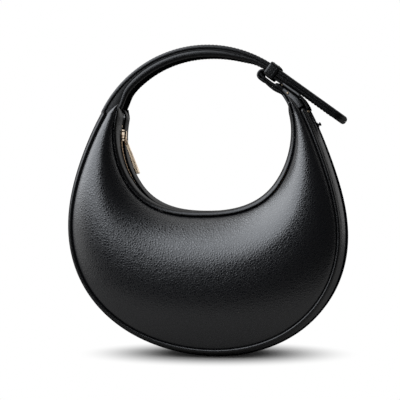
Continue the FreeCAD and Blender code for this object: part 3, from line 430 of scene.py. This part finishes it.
def rivet_cap(side, angle=130.3, y=14.0, radius=1.2, rise=0.9, sunk=0.8):
    """Small rivet head on the gusset's shoulder: a rim and half an ellipsoid turned about its normal."""
    half = half_depth(angle) - GUSSET_EDGE
    crown = toward_horn(angle, GUSSET_CROWN, HORN_CROWN)
    foot = outline(angle) + GUSSET_THICKNESS / 2 + crown * (1 - (y / half) ** 4)
    spot = about(BODY_HEIGHT, angle, foot, side * y)
    lean = 4 * crown * (y / half) ** 3 / half
    out = about(0, angle, 1.0, side * lean)
    out = out / np.linalg.norm(out)
    level = about(0, angle + 90, 1.0, 0)
    across = np.cross(out, level)
    lift = np.linspace(0, 88, 8)
    girth = np.concatenate([[0.05, radius, radius], radius * cosine(lift)])[:, None, None]
    height = np.concatenate([[-sunk, -sunk, 0.0], 0.05 + rise * sine(lift)])[:, None, None]
    turn = np.linspace(0, 360, 20, endpoint=False)[None, :, None]
    return spot + out * height + girth * (level * cosine(turn) + across * sine(turn))


for name, side in SIDES:
    dress(skin(name + "_gusset_rivet", rivet_cap(side)), pale_gold, "gold_metal", "bag")

# Strap: two plies of leather glued over a core, the inner one padded. It rises out of the left end of the
# gusset, narrows over the arch, passes the keeper and leaves the arch straight as a tail with a round end.
STRAP_HEIGHT, STRAP_RADIUS, STRAP_HALF, STRAP_HORN_HALF = 187.6, 119.0, 12.5, 18.0
STRAP_START, INNER_START, STRAP_LEAVE, STRAP_TUCK = -60.9, -57.7, 37.0, 1.6
PLY, PLY_GAP, TAIL_START, TAIL_LENGTH, TAIL_BEND = 3.6, 0.3, 29.0, 58.0, 6.0
ARC_LENGTH = math.radians(STRAP_LEAVE - STRAP_START) * STRAP_RADIUS
RUN_LENGTH = ARC_LENGTH + TAIL_START + TAIL_LENGTH
# Angle along the arch, room between the plies and thickness of the padded inner ply
PADDING = [(-57.7, 10.1, 3.6), (-53.0, 8.4, 4.0), (-46.9, 4.4, 4.9), (-42.2, 3.0, 5.4), (-34.7, 2.3, 5.8),
           (-23.6, 2.0, 5.8), (1.35, 1.9, 5.6), (18.0, 1.7, 4.3), (25.6, 0.4, 3.6), (30.1, 0.0, 3.6),
           (37.0, 0.0, 3.6)]


def strap_line(along, depth):
    """Points in the middle plane at a distance along the strap's outer face and a depth under it: an arc
    about the strap's centre and then its tangent."""
    angle = np.minimum(STRAP_START + np.degrees(along / STRAP_RADIUS), STRAP_LEAVE)
    over = np.maximum(along - ARC_LENGTH, 0)
    out = np.stack([sine(angle), cosine(angle)], axis=-1)
    on = np.stack([cosine(angle), -sine(angle)], axis=-1)
    return np.array([0, STRAP_HEIGHT]) + out * (STRAP_RADIUS - depth)[..., None] + on * over[..., None]


def through(points, count):
    """Smooth line through points: a cubic between two, whose slopes are half the step between neighbours."""
    points = np.asarray(points, dtype=float)
    padded = np.vstack([2 * points[0] - points[1], points, 2 * points[-1] - points[-2]])
    place = np.linspace(0, len(points) - 1, count)
    at = np.minimum(place.astype(int), len(points) - 2)
    part = (place - at)[:, None]
    a, b, c, d = (padded[at + step] for step in range(4))
    bend = (2 * a - 5 * b + 4 * c - d) * part ** 2 + (3 * b - a - 3 * c + d) * part ** 3
    return b + 0.5 * ((c - a) * part + bend)


def soft_band(line, half_width, thickness, edge=1.0, under=1.0, crown=0.0, guide=None):
    """Flat strip along a line in the middle plane: its section is a rectangle with corners rounded by one
    radius on the side that the left normals point to, which is crowned, and by another under it. The normals
    are the line's own, or those of a guide line."""
    normal = left_normals(line if guide is None else guide)
    half_width = np.broadcast_to(half_width, line.shape[:1])[:, None]
    half = np.broadcast_to(thickness, line.shape[:1])[:, None] / 2
    top, low = (np.minimum(np.minimum(corner, half * 0.98), half_width * 0.98) for corner in (edge, under))
    flat = np.linspace(-1, 1, 15)[None, :]
    turn = np.linspace(0, 90, 6)[None, 1:-1]
    reach, reach_low = half_width - top, half_width - low
    y = [reach * flat, reach + top * sine(turn), reach_low + low * cosine(turn),
         -reach_low * flat, -reach_low - low * sine(turn), -reach - top * cosine(turn)]
    z = [half + crown * (1 - flat ** 2), half - top + top * cosine(turn), low - half - low * sine(turn),
         -half + 0 * flat, low - half - low * cosine(turn), half - top + top * sine(turn)]
    y, z = np.concatenate(y, axis=1), np.concatenate(z, axis=1)
    plane = line[:, None, :] + normal[:, None, :] * z[..., None]
    return np.stack([plane[..., 0], y, plane[..., 1]], axis=-1)


def strap_half_width(x, along):
    """Half the strap's width: it narrows from the horn to the arch, from 92 to 42 mm left of the middle, and
    a half circle rounds its tip."""
    half = np.interp(x, [-92.0, -42.0], [STRAP_HORN_HALF, STRAP_HALF])
    into_tip = np.maximum(along - (RUN_LENGTH - STRAP_HALF), 0)
    return np.minimum(half, np.sqrt(np.maximum(STRAP_HALF ** 2 - into_tip ** 2, 0.04)))


def strap_padding(along):
    """Room between the plies and thickness of the inner ply, on smooth lines through the padding's rows."""
    rows = through(PADDING, 400)
    angle = STRAP_START + np.degrees(along / STRAP_RADIUS)
    return np.interp(angle, rows[:, 0], rows[:, 1]), np.interp(angle, rows[:, 0], rows[:, 2])


def bend_with_tail(piece):
    """Bakes the piece's placement into its points."""
    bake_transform(piece)


def strap_ply(name, start, inner, edge, under, crown):
    """One ply from the horn to the tail's tip. Over the last few millimetres its outer side closes on the
    other ply along a quarter circle."""
    first = math.radians(start - STRAP_START) * STRAP_RADIUS
    along = np.linspace(first, RUN_LENGTH, 420)
    along[-32:] = RUN_LENGTH - STRAP_HALF * (1 - np.sin(np.linspace(0.05, math.pi / 2, 32)))
    room, padded = strap_padding(along)
    from_tip = np.clip((RUN_LENGTH - along) / PLY, 0, 1)
    thickness = (padded if inner else PLY) * np.sqrt(np.maximum(1 - (1 - from_tip) ** 2, 0.001))
    depth = PLY + PLY_GAP + room + thickness / 2 if inner else PLY - thickness / 2
    line = strap_line(along, depth)
    guide = strap_line(along, np.zeros_like(along))
    half = strap_half_width(line[:, 0], along)
    return skin(name, soft_band(line, half, thickness, edge, under, crown, guide))


outer_ply = strap_ply("strap_outer_leather", STRAP_START - STRAP_TUCK, False, edge=1.5, under=0.2, crown=0.5)
dress(outer_ply, strap_leather, "leather", None, "strap_outer_ply", "tail_outer_ply")
bend_with_tail(outer_ply)
inner_ply = strap_ply("strap_inner_leather", INNER_START, True, edge=0.2, under=1.9, crown=0.0)
dress(inner_ply, strap_leather, "leather", None, "strap_inner_ply", "tail_inner_ply")
bend_with_tail(inner_ply)

# Strap stitching: two rows of waxed thread along each face of the strap, a little in from its edges, that
# hold the plies together from the horn to the tail.
STITCH_PITCH, STITCH_INSET, FIRST_STITCH, LAST_STITCH = 3.7, 2.6, 14.0, 15.0


def stitches(name, spots, ways, ups, length=2.7, thick=0.75):
    """Short threads at many spots: each a tube along its seam whose girth closes at both ends as the root of
    one minus the fourth power, half sunk in the leather."""
    ways, ups = (part / np.linalg.norm(part, axis=1, keepdims=True) for part in (ways, ups))
    sides = np.cross(ways, ups)
    run, turn = np.linspace(-1, 1, 7), np.linspace(0, 360, 6, endpoint=False)
    girth = np.sqrt(np.maximum(1 - run ** 4, 0.01)) * thick / 2
    along = ways[:, None, None, :] * (run * length / 2)[None, :, None, None]
    ring = (sides[:, None, None, :] * cosine(turn)[None, None, :, None]
            + ups[:, None, None, :] * sine(turn)[None, None, :, None]) * girth[None, :, None, None]
    points = (spots[:, None, None, :] + along + ring) * MM
    index = np.arange(points[..., 0].size).reshape(points.shape[:3])
    low, high = index[:, :-1], index[:, 1:]
    quads = np.stack([low, np.roll(low, -1, axis=2), np.roll(high, -1, axis=2), high], axis=-1).reshape(-1, 4)
    faces = quads[:, ::-1].tolist() + index[:, 0].tolist() + index[:, -1, ::-1].tolist()
    return mesh_piece(name, points.reshape(-1, 3), faces, len(faces))


# Twisted polyester, a shade lighter than the leather, so that the rows just show
thread = plain_weave("black waxed thread", "#2c2c2e", 0.4 * MM)
for name, after, outward in (("strap_outer_stitching", 0.0, 1), ("strap_inner_stitching", 30.0, -1)):
    along = np.arange(FIRST_STITCH, RUN_LENGTH - LAST_STITCH, STITCH_PITCH)
    along = along[along > after]
    room, padded = strap_padding(along)
    line = strap_line(along, 0 * along if outward > 0 else PLY + PLY_GAP + room + padded)
    run = np.gradient(line, axis=0)
    half = strap_half_width(line[:, 0], along) - STITCH_INSET
    spots = np.concatenate([np.column_stack([line[:, 0], side * half, line[:, 1]]) for side in (-1, 1)])
    ways = np.tile(np.column_stack([run[:, 0], 0 * half, run[:, 1]]), (2, 1))
    ups = np.tile(np.column_stack([-run[:, 1], 0 * half, run[:, 0]]), (2, 1)) * outward
    row = stitches(name, spots, ways, ups)
    dress(row, thread, "leather", None)
    bend_with_tail(row)

# Strap core: a non-woven sheet glued between the plies, thick at the left horn and thin over the arch. Its
# cut edge, a little behind the plies' edges, is painted black.
CORE_INSET, CORE_SLACK, CORE_CORNER = 1.0, 0.1, 0.6
core_along = np.radians(np.linspace(-STRAP_TUCK / 2, STRAP_LEAVE - STRAP_START, 220)) * STRAP_RADIUS
core_room = strap_padding(core_along)[0] + PLY_GAP
core_line = strap_line(core_along, PLY + core_room / 2)
core_half = strap_half_width(core_line[:, 0], core_along) - CORE_INSET
# Acrylic paint in a smooth satin coat, with hardly any grain
# its second colour is painted shade in the creases
edge_paint = pebbled_leather("black edge paint", "#0c0c0d", "#0a0a0b", 2.5 * MM, 0.02 * MM, 0.45, 0.55,
                             gleam=0.4)
core_band = soft_band(core_line, core_half, core_room - CORE_SLACK, edge=CORE_CORNER, under=CORE_CORNER)
core = skin("strap_core_sheet", core_band)
dress(core, edge_paint, "stiffener", "bag", "strap_core")

# Tab: a leather strip that rises out of the right end of the gusset under the strap, folds back round the
# keeper and runs down again to the mouth's rim. A padded tongue that thickens towards the horn fills it out.
TAB, TAB_END, TAB_TUCK, TAB_RETURN, TAB_FOLD, TAB_ROOM = 2.6, 60.9, 2.0, 57.0, 4.4, 0.4
TAB_UNDER = STRAP_RADIUS - 2 * PLY - PLY_GAP - TAB_ROOM - TAB / 2
KEEPER_ANGLE, KEEPER_WIDTH, KEEPER_WALL = 36.8, 10.5, 2.0
FOLD_ANGLE = KEEPER_ANGLE - math.degrees((KEEPER_WIDTH / 2 + TAB_ROOM) / TAB_UNDER)
# Share of the way back from the fold to the rim, and rise above the fold's lower run
TAB_BACK = [(0.12, 0.39), (0.35, -0.21), (0.6, 2.6), (0.82, 2.08), (1.0, 0.99)]
# Angle along the tab, and radii of the tongue's lower and upper faces
TONGUE = [(31.6, 102.8, 107.2), (32.9, 102.7, 107.0), (34.6, 102.6, 105.5), (41.8, 102.2, 105.5),
          (43.6, 102.6, 108.2), (45.6, 103.9, 109.3), (48.95, 104.6, 110.6), (52.8, 104.3, 112.6),
          (56.6, 103.4, 114.4), (60.7, 103.4, 114.9)]
TONGUE_INSET, TONGUE_CORNER = 0.4, 3.0


def polar(angle, radius):
    """Plane points at angles, from straight up, and radii about the strap's centre."""
    return np.stack([radius * sine(angle), STRAP_HEIGHT + radius * cosine(angle)], axis=-1)


def tab_half_width(x):
    """Half the tab's width: a straight ramp that widens to the horn, from 79 to 95 mm right of the middle."""
    return np.interp(x, [79.0, 95.0], [STRAP_HALF, STRAP_HORN_HALF])


# Angles and radii along the tab: out of the horn, straight under the strap, round the fold and back
tab_path = [(TAB_END + TAB_TUCK, STRAP_RADIUS - 3.1), (TAB_END, STRAP_RADIUS - 2.7)]
tab_path += [(STRAP_LEAVE + 0.8 * (TAB_END - STRAP_LEAVE), STRAP_RADIUS - 3.2)]
tab_path += [(STRAP_LEAVE + lean, TAB_UNDER / cosine(lean)) for lean in (11.95, 5.975, 0.0)]
tab_path += [((STRAP_LEAVE + FOLD_ANGLE) / 2, TAB_UNDER), (FOLD_ANGLE, TAB_UNDER)]
tab_path += [(FOLD_ANGLE - np.degrees(TAB_FOLD * sine(turn) / TAB_UNDER),
              TAB_UNDER - TAB_FOLD * (1 - cosine(turn)))
             for turn in (22.0, 45.0, 67.0, 90.0, 112.0, 135.0, 180.0)]
tab_path += [(FOLD_ANGLE + (TAB_RETURN - FOLD_ANGLE) * share, TAB_UNDER - 2 * TAB_FOLD + lift)
             for share, lift in TAB_BACK]
tab_line = through(polar(*np.transpose(tab_path)), 320)
tab = skin("folded_tab_leather", soft_band(tab_line, tab_half_width(tab_line[:, 0]), TAB))
dress(tab, strap_leather, "leather", "bag", "tab_loop")

tongue_angle, tongue_foot, tongue_top = np.transpose(TONGUE)
tongue_rows = np.column_stack([polar(tongue_angle, (tongue_top + tongue_foot) / 2), tongue_top - tongue_foot])
tongue_line, tongue_full = np.split(through(tongue_rows, 120), [2], axis=1)
tongue_half = tab_half_width(tongue_line[:, 0]) - TONGUE_INSET
tongue_band = soft_band(tongue_line, tongue_half, tongue_full[:, 0], edge=TONGUE_CORNER, under=TONGUE_CORNER)
tongue = skin("tab_tongue_leather", tongue_band)
dress(tongue, strap_leather, "leather", "bag", "tab_backing")

# Keeper: a strip of leather sewn into a ring round the strap and the tab. It slides a little along them and
# holds them together; a row of stitches runs along each of its edges, over the top and down the sides.
KEEPER_TOP, KEEPER_FOOT, KEEPER_SIDE, KEEPER_CORNER, KEEPER_SEAM = 120.4, 107.1, 13.9, 2.6, 2.2
keeper_on = np.array([cosine(KEEPER_ANGLE), 0, -sine(KEEPER_ANGLE)])
keeper_out = np.array([sine(KEEPER_ANGLE), 0, cosine(KEEPER_ANGLE)])
across_bag = np.array([0, 1, 0])
strap_centre = np.array([0, 0, STRAP_HEIGHT])


def keeper_ring():
    """Rounded strip section carried round a rectangle with rounded corners, in the plane across the strap.
    The strip's section is a closed curve of powers of the cosine and the sine."""
    quarter = np.linspace(0, 90, 9)
    reach, top, foot = KEEPER_SIDE - KEEPER_CORNER, KEEPER_TOP - KEEPER_CORNER, KEEPER_FOOT + KEEPER_CORNER
    centres = ((reach, top, 0), (-reach, top, 90), (-reach, foot, 180), (reach, foot, 270))
    ring = np.concatenate([np.stack([y + KEEPER_CORNER * cosine(quarter + turn),
                                     z + KEEPER_CORNER * sine(quarter + turn)], axis=-1)
                           for y, z, turn in centres])
    steps = np.linspace(0, 1, 12, endpoint=False)[:, None]
    ring = np.concatenate([a + (b - a) * steps for a, b in zip(ring, np.roll(ring, -1, axis=0))])[::3]
    run = np.roll(ring, -1, axis=0) - np.roll(ring, 1, axis=0)
    normal = np.stack([run[:, 1], -run[:, 0]], axis=-1)
    normal /= np.linalg.norm(normal, axis=-1, keepdims=True)
    turn = np.linspace(0, 360, 28, endpoint=False)
    wide = np.sign(cosine(turn)) * np.abs(cosine(turn)) ** 0.35 * KEEPER_WIDTH / 2
    thick = np.sign(sine(turn)) * np.abs(sine(turn)) ** 0.6 * KEEPER_WALL / 2
    plane = ring[:, None, :] + normal[:, None, :] * thick[None, :, None]
    around = plane[..., :1] * across_bag + plane[..., 1:] * keeper_out
    return strap_centre + wide[None, :, None] * keeper_on + around


dress(skin("keeper_leather", keeper_ring(), loop=True), strap_leather, "leather", "keeper", "keeper")
over_top = np.linspace(-11.0, 11.0, 7)[:, None] * across_bag + keeper_out * (KEEPER_TOP + KEEPER_WALL / 2)
down_side = np.linspace(110.0, 117.5, 3)[:, None] * keeper_out
cheek = across_bag * (KEEPER_SIDE + KEEPER_WALL / 2)
keeper_runs = ((over_top, across_bag, keeper_out), (down_side - cheek, keeper_out, -across_bag),
               (down_side + cheek, keeper_out, across_bag))
keeper_rows = [(spots + keeper_on * row + strap_centre, np.broadcast_to(way, spots.shape),
                np.broadcast_to(up, spots.shape))
               for row in (-KEEPER_WIDTH / 2 + KEEPER_SEAM, KEEPER_WIDTH / 2 - KEEPER_SEAM)
               for spots, way, up in keeper_runs]
keeper_thread = stitches("keeper_stitching", *(np.concatenate(part) for part in zip(*keeper_rows)))
dress(keeper_thread, thread, "leather", "keeper")

# Floor: white studio paper under the bag. Its own matt white shows only in an oval round the base, where it
# takes the bag's soft shadow; the grey of that oval, which the lamp's flag leaves dim, is a painted shadow
# laid over the real one. Further out it fades to the room's plain white, so that no edge shows.
FLOOR_SIDE, FLOOR_FRONT, FLOOR_BACK = 4, -0.2, 6
SHADOW_LONG, SHADOW_DEEP, SHADOW_SHIFT = 0.1425, 0.095, -0.056
corners = np.array([(-FLOOR_SIDE, FLOOR_FRONT, 0), (FLOOR_SIDE, FLOOR_FRONT, 0),
                    (FLOOR_SIDE, FLOOR_BACK, 0), (-FLOOR_SIDE, FLOOR_BACK, 0)])
floor = mesh_piece("studio_floor", corners, [(0, 1, 2, 3)], 0)
paper, tree, output = new_material("white studio paper")
place = add(tree, "ShaderNodeTexCoord").outputs["Object"]
# painted shadow: the camera sees the floor's dim matt grey near the base, turning to white emission over this
# oval
oval = add(tree, "ShaderNodeMapping",
           {"Scale": (1 / SHADOW_LONG, 1 / SHADOW_DEEP, 1.0), "Location": (SHADOW_SHIFT, 0, 0)},
           {"Vector": place})
away = add(tree, "ShaderNodeVectorMath", {}, {0: oval.outputs[0]}, operation="LENGTH")
far = add(tree, "ShaderNodeMapRange", {"From Min": 0.3, "From Max": 1.0}, {"Value": away.outputs["Value"]},
          interpolation_type="SMOOTHSTEP")
seen = add(tree, "ShaderNodeLightPath").outputs["Is Camera Ray"]
painted_shadow_fade = add(tree, "ShaderNodeMath", {}, {0: far.outputs[0], 1: seen}, operation="MULTIPLY")
matte = add(tree, "ShaderNodeBsdfDiffuse", {"Color": to_linear("#f6f6f6")})
white = add(tree, "ShaderNodeEmission", {"Color": (1, 1, 1, 1), "Strength": 1.0})
shader = add(tree, "ShaderNodeMixShader", {}, {0: painted_shadow_fade.outputs[0], 1: matte.outputs[0], 2: white.outputs[0]})
tree.links.new(shader.outputs[0], output.inputs["Surface"])
floor.data.materials.append(paper)

# Room: white to the eye and dimmer as a light. The leather and the metal mirror it white behind and at the
# left, and dark in front and at the right, where the studio is unlit.
ROOM_LIGHT, GLOOM_WAY, GLOOM_EDGE, GLOOM = 0.3, (0.4, -0.92, 0.0), 0.45, 0.98
world = bpy.data.worlds.new("white studio")
bpy.context.scene.world = world
world.use_nodes = True
tree = world.node_tree
tree.nodes.clear()
path = add(tree, "ShaderNodeLightPath")
shown, glossy = path.outputs["Is Camera Ray"], path.outputs["Is Glossy Ray"]
seen = add(tree, "ShaderNodeMath", {}, {0: shown, 1: path.outputs["Is Transmission Ray"]},
           operation="MAXIMUM")
seen = add(tree, "ShaderNodeMath", {}, {0: seen.outputs[0], 1: glossy}, operation="MAXIMUM")
level = add(tree, "ShaderNodeMapRange", {"To Min": ROOM_LIGHT, "To Max": 1.0}, {"Value": seen.outputs[0]})
ahead = add(tree, "ShaderNodeVectorMath", {1: GLOOM_WAY},
            {0: add(tree, "ShaderNodeTexCoord").outputs["Generated"]}, operation="DOT_PRODUCT")
gloom = add(tree, "ShaderNodeMapRange", {"From Min": 0.0, "From Max": GLOOM_EDGE, "To Max": GLOOM},
            {"Value": ahead.outputs["Value"]}, interpolation_type="SMOOTHSTEP")
hidden = add(tree, "ShaderNodeMath", {}, {0: gloom.outputs[0], 1: glossy}, operation="MULTIPLY")
lit = add(tree, "ShaderNodeMath", {0: 1.0}, {1: hidden.outputs[0]}, operation="SUBTRACT")
level = add(tree, "ShaderNodeMath", {}, {0: level.outputs[0], 1: lit.outputs[0]}, operation="MULTIPLY")
backdrop = add(tree, "ShaderNodeBackground", {"Color": (1, 1, 1, 1)}, {"Strength": level.outputs[0]})
tree.links.new(backdrop.outputs[0], add(tree, "ShaderNodeOutputWorld").inputs["Surface"])

# Lamp and lens: one wide softbox, a little cool, high in front and to the left, with a flag that keeps its
# light off the floor; and a long lens at the height of the bag's middle, a little to the bag's right.
LAMP_PLACE, LAMP_TARGET = np.array([-0.985, -0.53, 1.0]), np.array([-0.165, 0.19, 0.1])
LAMP_WIDTH, LAMP_HEIGHT, LAMP_WATTS, LAMP_COLOUR = 2.3, 1.32, 29, (0.89, 0.935, 1.0)
AZIMUTH, DISTANCE, AIM, ROLL = math.radians(10.7), 1.1, (-0.0069, -0.0013, 0.153), math.radians(0.7)
lamp = bpy.data.lights.new("wide softbox", "AREA")
lamp.shape = "RECTANGLE"
lamp.size, lamp.size_y = LAMP_WIDTH, LAMP_HEIGHT
lamp.energy, lamp.color = LAMP_WATTS, LAMP_COLOUR
softbox = into_scene("wide softbox", lamp)
way = LAMP_TARGET - LAMP_PLACE
softbox.location = LAMP_PLACE
softbox.rotation_euler = (math.atan2(math.hypot(way[0], way[1]), -way[2]), 0, math.atan2(-way[0], way[1]))
flagged = bpy.data.collections.new("kept dark by a flag")
flagged.objects.link(floor)
flagged.collection_objects[0].light_linking.link_state = "EXCLUDE"
softbox.light_linking.receiver_collection = flagged

lens = bpy.data.cameras.new("long lens")
lens.lens, lens.sensor_width, lens.clip_start = 99.0, 36.0, 0.01
camera = into_scene("long lens", lens)
camera.location = (AIM[0] + DISTANCE * math.sin(AZIMUTH), AIM[1] - DISTANCE * math.cos(AZIMUTH), AIM[2])
camera.rotation_mode = "XYZ"
camera.rotation_euler = (math.radians(90), ROLL, AZIMUTH)
bpy.context.scene.camera = camera
bpy.context.scene.view_settings.view_transform = "Standard"
